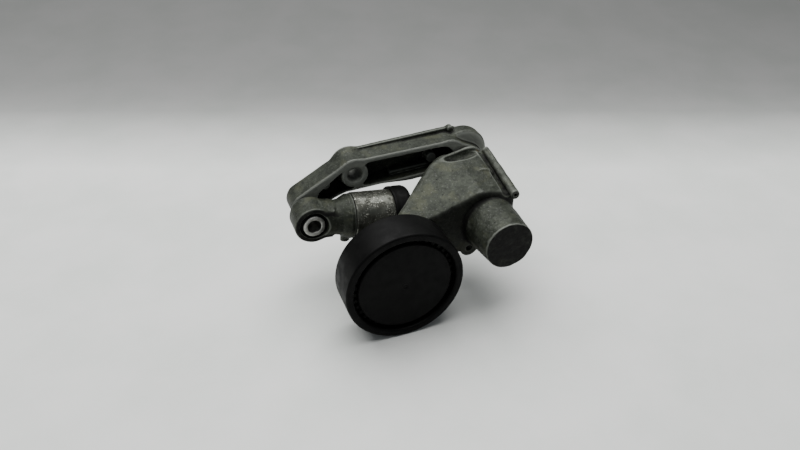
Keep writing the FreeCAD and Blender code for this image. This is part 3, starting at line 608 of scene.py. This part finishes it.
def make_pulley():
    back, front, ledge = PULLEY_BACK, PULLEY_FRONT, 78.6
    centre = (PULLEY[0], 0, PULLEY[2])

    def rim(ribbed):
        web = back + (1.5 if ribbed else 7)
        return soften([
            (18.6, back + 0.6), (24.2, back + 0.6), (24.2, web), (34.6, web), (34.6, back),
            (37.2, back), (38, back + 0.8), (38, front - 0.9), (37.1, front), (33.9, front),
            (33, front - 0.9), (33, ledge), (24.2, back + 11.5), (24.2, 76.4), (20, 76.4), (20, 63),
            (18.6, 63)], 0.45)

    rims = {ribbed: rim(ribbed) for ribbed in (False, True)}
    finish_piece(turned("pulley_wheel", centre, (0, -1, 0),
                        lambda angle: rims[in_notch(angle, RIM_RIBS, RIB_HALF)],
                        288, notch_stops(RIM_RIBS, RIB_HALF)), "pulley", "pulley_rim", "black_moulding")

    def cap(notched):
        face, lip = front - 1.4, 30.4 if notched else 32.75
        return soften([
            (0, face - 1.8), (28.6, face - 1.8), (28.6, ledge + 0.2), (lip, ledge + 0.2),
            (lip, ledge + 2.2), (30.3, ledge + 2.2), (30.3, face - 0.7), (29.6, face), (1.8, face),
            (1.3, face - 0.4), (0, face - 0.4)], 0.25)

    caps = {notched: cap(notched) for notched in (False, True)}
    finish_piece(turned("cap_cover", centre, (0, -1, 0),
                        lambda angle: caps[in_notch(angle, CAP_NOTCHES, NOTCH_HALF)],
                        240, notch_stops(CAP_NOTCHES, NOTCH_HALF)), "pulley", "dust_cap",
                 "black_moulding")


# ---------------------------------------------------------------- materials

class Look:
    """A node material under construction."""

    def __init__(self, name, rough, metal):
        self.material = bpy.data.materials.new(name)
        self.material.use_nodes = True
        self.tree = self.material.node_tree
        self.shader = self.tree.nodes["Principled BSDF"]
        self.shader.inputs["Roughness"].default_value = rough
        self.shader.inputs["Metallic"].default_value = metal
        self.coordinates = self.add("ShaderNodeTexCoord")

    def add(self, kind, inputs=None, **settings):
        item = self.tree.nodes.new(kind)
        for key, value in settings.items():
            setattr(item, key, value)
        for key, value in (inputs or {}).items():
            if isinstance(value, bpy.types.NodeSocket):
                self.tree.links.new(value, item.inputs[key])
            else:
                item.inputs[key].default_value = value
        return item

    def noise(self, size, seed=0, detail=3.0, stretch=(1, 1, 1)):
        """Noise with features of this many millimetres."""
        scale = [part / (size * MM) for part in stretch]
        place = self.add("ShaderNodeMapping", {"Vector": self.coordinates.outputs["Object"],
                                               "Scale": scale, "Location": (seed * 3.1, seed * 1.7, seed)})
        return self.add("ShaderNodeTexNoise", {"Vector": place.outputs[0], "Scale": 1.0,
                                               "Detail": detail, "Roughness": 0.55}).outputs[0]

    def attribute(self, name):
        return self.add("ShaderNodeAttribute", attribute_name=name).outputs["Fac"]

    def step(self, value, low, high, start=0.0, end=1.0):
        return self.add("ShaderNodeMapRange", {"Value": value, "From Min": low, "From Max": high,
                                               "To Min": start, "To Max": end},
                        interpolation_type="SMOOTHSTEP").outputs[0]

    def maths(self, operation, first, second):
        return self.add("ShaderNodeMath", {0: first, 1: second}, operation=operation).outputs[0]

    def mix(self, share, first, second):
        colours = [tuple(value) + (1,) if isinstance(value, tuple) else value for value in (first, second)]
        return self.add("ShaderNodeMix", {0: share, 6: colours[0], 7: colours[1]},
                        data_type="RGBA").outputs[2]

    def normal(self, axis):
        """How far the surface faces along one of the object's axes."""
        parts = self.add("ShaderNodeSeparateXYZ", {0: self.coordinates.outputs["Normal"]})
        return parts.outputs[axis]

    def set(self, **sockets):
        for key, value in sockets.items():
            self.tree.links.new(value, self.shader.inputs[key.replace("_", " ")])

    def bump(self, height, distance, strength=1.0):
        item = self.add("ShaderNodeBump", {"Height": height, "Distance": distance * MM,
                                           "Strength": strength})
        self.tree.links.new(item.outputs[0], self.shader.inputs["Normal"])


def cast_look():
    look = Look("cast_aluminium_look", 0.55, 0.3)
    colour = look.mix(look.step(look.noise(9, 1), 0.35, 0.65), (0.0215, 0.0247, 0.0180),
                      (0.0385, 0.0430, 0.0325))
    colour = look.mix(look.step(look.noise(2.2, 2), 0.42, 0.7, 0, 0.75), colour, (0.012, 0.0135, 0.0105))
    stain = look.step(look.noise(13, 3, 4, (1, 1, 2.2)), 0.5, 0.68, 0, 0.6)
    colour = look.mix(stain, colour, (0.058, 0.061, 0.039))
    fleck = look.step(look.noise(1.1, 4, 2), 0.56, 0.7, 0, 0.4)
    colour = look.mix(fleck, colour, (0.12, 0.125, 0.112))
    # worn edges and painted highlight: thin convex edges are lightened
    worn_edge_and_highlight = look.step(look.attribute("fine_edge"), 0.03, 0.18, 0, 0.8)
    colour = look.mix(worn_edge_and_highlight, colour, (0.13, 0.137, 0.12))
    # painted shade: faces that look forward, away from the light above, are darkened with a cake of old oil
    # and shade in the coated ranges
    front = look.step(look.maths("MULTIPLY", look.normal("Y"), -1.0), 0.6, 0.95)
    grime_and_shade = look.maths("MULTIPLY", front, look.attribute("grime_and_shade"))
    grime_and_shade = look.maths("MULTIPLY", grime_and_shade, look.step(look.noise(5, 5, 5), 0.28, 0.55, 0.75, 1.0))
    # painted shade with dirt: concave corners and enclosed hollows are darkened where shade falls; the small
    # dark spots are dirt
    crevice_shade_and_dirt = look.step(look.maths("MULTIPLY", look.attribute("wide_edge"), -1.0), 0.05, 0.42)
    crevice_shade_and_dirt = look.maths("MULTIPLY", crevice_shade_and_dirt, look.step(look.noise(4, 6, 4), 0.3, 0.6, 0.45, 1.0))
    hollow_shade_and_dirt = look.step(look.attribute("cavity"), 0.08, 0.32)
    hollow_shade_and_dirt = look.maths("MULTIPLY", hollow_shade_and_dirt, look.step(look.noise(5, 7, 5), 0.35, 0.6, 0.85, 1.0))
    spot = look.step(look.noise(1.7, 8, 2), 0.67, 0.73, 0, 0.85)
    # colour of the painted shade and old oil on forward faces
    oil_cake_and_shade = look.mix(look.step(look.noise(3, 12, 4), 0.4, 0.65), (0.0035, 0.0033, 0.003),
                    (0.0075, 0.0075, 0.007))
    colour = look.mix(grime_and_shade, colour, oil_cake_and_shade)
    # painted shade of the corners and hollows together with the dirt spots, kept off bare faces and clean
    # bores
    dirt_and_shade = look.maths("MAXIMUM", crevice_shade_and_dirt, look.maths("MAXIMUM", hollow_shade_and_dirt, spot))
    bare = look.maths("MULTIPLY", front, look.step(look.attribute("grime_and_shade"), -0.5, 0.0, 0.8, 0.0))
    bare = look.maths("MAXIMUM", bare, look.step(look.attribute("grime_and_shade"), -2.0, -1.1, 0.35, 0.0))
    dirt_and_shade = look.maths("MULTIPLY", dirt_and_shade, look.maths("SUBTRACT", 1.0, bare))
    colour = look.mix(dirt_and_shade, colour, (0.0035, 0.0034, 0.003))
    colour = look.mix(look.maths("MULTIPLY", bare, 0.8), colour, (0.24, 0.25, 0.225))
    soil_and_shade = look.maths("MAXIMUM", dirt_and_shade, grime_and_shade)
    look.set(Base_Color=colour, Roughness=look.step(soil_and_shade, 0, 1, 0.5, 0.75),
             Metallic=look.step(soil_and_shade, 0, 0.8, 0.3, 0.0))
    look.shader.inputs["Specular IOR Level"].default_value = 0.15
    grain = look.maths("MULTIPLY", look.noise(0.55, 10, 2), 0.5)
    look.bump(look.maths("ADD", look.noise(1.6, 11, 3), grain), 0.3, 1.0)
    return look.material


def machined_look():
    look = Look("machined_aluminium_look", 0.38, 0.6)
    colour = look.mix(look.step(look.noise(6, 21), 0.35, 0.65), (0.065, 0.068, 0.056), (0.11, 0.113, 0.095))
    patch = look.step(look.noise(4.5, 22, 5), 0.46, 0.56, 0, 0.7)
    colour = look.mix(patch, colour, (0.028, 0.028, 0.020))
    # painted highlight: bright specks in patches stand in for glints on the tube
    painted_glints = look.step(look.noise(0.8, 23, 2), 0.58, 0.66, 0, 0.9)
    painted_glints = look.maths("MULTIPLY", painted_glints, look.step(look.noise(7, 24), 0.42, 0.56))
    colour = look.mix(painted_glints, colour, (0.42, 0.42, 0.37))
    spot = look.step(look.noise(2.0, 25, 2), 0.66, 0.72, 0, 0.9)
    colour = look.mix(spot, colour, (0.012, 0.011, 0.009))
    look.set(Base_Color=colour, Roughness=look.step(patch, 0, 0.6, 0.34, 0.6),
             Metallic=look.step(spot, 0, 0.5, 0.6, 0.0))
    look.bump(look.maths("ADD", look.noise(0.6, 26, 3), patch), 0.06, 0.8)
    return look.material


def moulding_look():
    look = Look("black_moulding_look", 0.5, 0.0)
    colour = look.mix(look.step(look.noise(8, 31, 4), 0.35, 0.7), (0.0012, 0.0012, 0.0012),
                      (0.0024, 0.0024, 0.0023))
    dust = look.maths("MULTIPLY", look.step(look.normal("Z"), 0.1, 0.9),
                      look.step(look.noise(12, 32, 5), 0.35, 0.7, 0.3, 1.0))
    colour = look.mix(look.maths("MULTIPLY", dust, 0.2), colour, (0.008, 0.008, 0.007))
    scuff = look.step(look.noise(2.5, 33, 5, (1, 0.25, 1)), 0.62, 0.7, 0, 0.3)
    colour = look.mix(scuff, colour, (0.008, 0.008, 0.0075))
    look.set(Base_Color=colour, Roughness=look.step(look.noise(5, 34, 4), 0.3, 0.7, 0.42, 0.58))
    look.shader.inputs["Specular IOR Level"].default_value = 0.07
    look.bump(look.noise(0.35, 35, 2), 0.03, 0.6)
    return look.material


def rubber_look():
    look = Look("boot_rubber_look", 0.6, 0.0)
    colour = look.mix(look.step(look.noise(7, 41, 4), 0.35, 0.7), (0.0018, 0.0019, 0.0018),
                      (0.004, 0.0042, 0.0038))
    dust = look.step(look.normal("Z"), 0.2, 1.0, 0, 0.2)
    colour = look.mix(dust, colour, (0.010, 0.010, 0.009))
    look.set(Base_Color=colour, Roughness=look.step(look.noise(3, 42), 0.3, 0.7, 0.5, 0.7))
    look.shader.inputs["Specular IOR Level"].default_value = 0.07
    look.bump(look.noise(0.5, 43, 3), 0.04, 0.7)
    return look.material


def steel_look(name, low, high, rough, seed):
    look = Look(name, rough, 1.0)
    colour = look.mix(look.step(look.noise(3, seed, 4), 0.3, 0.7), low, high)
    spot = look.step(look.noise(1.4, seed + 1, 3), 0.68, 0.78, 0, 0.5)
    colour = look.mix(spot, colour, (0.05, 0.04, 0.03))
    look.set(Base_Color=colour, Roughness=look.step(look.noise(1.0, seed + 2, 3), 0.3, 0.7,
                                                    rough - 0.08, rough + 0.14))
    look.bump(look.noise(0.4, seed + 3, 2, (1, 0.2, 1)), 0.015, 0.7)
    return look.material


LOOKS = {
    "cast_aluminium": cast_look(),
    "machined_aluminium": machined_look(),
    "black_moulding": moulding_look(),
    "boot_rubber": rubber_look(),
    "bright_steel": steel_look("bright_steel_look", (0.27, 0.27, 0.25), (0.42, 0.42, 0.40), 0.36, 51),
    "dark_steel": steel_look("dark_steel_look", (0.13, 0.13, 0.13), (0.26, 0.255, 0.25), 0.42, 61),
    "bush_bronze": steel_look("bush_bronze_look", (0.33, 0.23, 0.11), (0.50, 0.37, 0.19), 0.38, 71),
}
for part in frame["record"]["subparts"]:
    node = frame["nodes"][part["node"]]
    node.data.materials.clear()
    node.data.materials.append(LOOKS[part["material_slot"]])

make_bracket()
make_lever()
make_eye_end()
make_strut_turnings()
make_pulley()


# ---------------------------------------------------------------- stage

CAMERA_FROM_WHEEL = (-120.3, -305.1, 268.7)
CAMERA_FORWARD = (0.294, 0.773, -0.562)

wheel_low, wheel_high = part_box("pulley_rim")
camera_spot = (Vector(((wheel_low.x + wheel_high.x) / 2, wheel_low.y, (wheel_low.z + wheel_high.z) / 2))
               + Vector(CAMERA_FROM_WHEEL) * MM)
forward = Vector(CAMERA_FORWARD).normalized()
ahead = Vector((forward.x, forward.y, 0)).normalized()
aside = Vector((ahead.y, -ahead.x, 0))


def make_floor():
    """A sheet of pale board. Behind the part it darkens with painted shade and starts to rise."""
    runs = [-1.5, 0.0, 0.3, 0.5, 0.54, 0.57, 0.6, 0.63, 0.66, 0.685, 0.7, 0.73, 0.77, 0.85, 0.95,
            1.1, 1.4, 2.6]
    rises = np.interp(runs, [0.685, 0.73, 0.95, 1.4, 2.6], [0, 0.004, 0.04, 0.17, 0.6])
    # painted shade: the board's colour darkens towards the back, where the light falls off
    painted_shades = np.interp(runs, [0.54, 0.617, 0.662, 0.714, 0.805, 0.952], [1.0, 0.60, 0.35, 0.25, 0.185, 0.15])
    foot = Vector((camera_spot.x, camera_spot.y, wheel_low.z))
    vertices = [tuple(foot + ahead * run + aside * reach + Vector((0, 0, rise)))
                for run, rise in zip(runs, rises) for reach in (-2.4, 2.4)]
    faces = [(2 * i, 2 * i + 1, 2 * i + 3, 2 * i + 2) for i in range(len(runs) - 1)]
    floor = fill_mesh("floor", vertices, faces)
    painted_shade = floor.data.attributes.new("painted_shade", "FLOAT", "POINT")
    painted_shade.data.foreach_set("value", np.repeat(painted_shades, 2).astype(np.float32))
    look = Look("floor_board_look", 0.75, 0.0)
    colour = look.mix(look.step(look.noise(60, 81, 5), 0.3, 0.7), (0.615, 0.635, 0.605), (0.68, 0.685, 0.665))
    colour = look.mix(look.attribute("painted_shade"), (0.0, 0.0, 0.0), colour)
    look.set(Base_Color=colour)
    look.bump(look.noise(2.5, 82, 4), 0.08, 0.5)
    floor.data.materials.append(look.material)


def make_light(name, spot, target, size, watts):
    data = bpy.data.lights.new(name, "AREA")
    data.shape = "DISK"
    data.size = size
    data.energy = watts
    light = bpy.data.objects.new(name, data)
    bpy.context.scene.collection.objects.link(light)
    light.location = spot
    light.rotation_euler = (Vector(target) - Vector(spot)).to_track_quat("-Z", "Y").to_euler()


make_floor()
make_light("key", (-0.05, 0.4, 1.5), (0.02, 0.05, 0), 2.2, 68)

camera_data = bpy.data.cameras.new("camera")
camera_data.sensor_width = 36
camera_data.lens = 31.5
camera = bpy.data.objects.new("camera", camera_data)
bpy.context.scene.collection.objects.link(camera)
camera.location = camera_spot
camera.rotation_euler = forward.to_track_quat("-Z", "Y").to_euler()
bpy.context.scene.camera = camera

world = bpy.data.worlds.new("studio")
world.use_nodes = True
world.node_tree.nodes["Background"].inputs[0].default_value = (0.9, 0.95, 1.0, 1)
world.node_tree.nodes["Background"].inputs[1].default_value = 0.22
bpy.context.scene.world = world
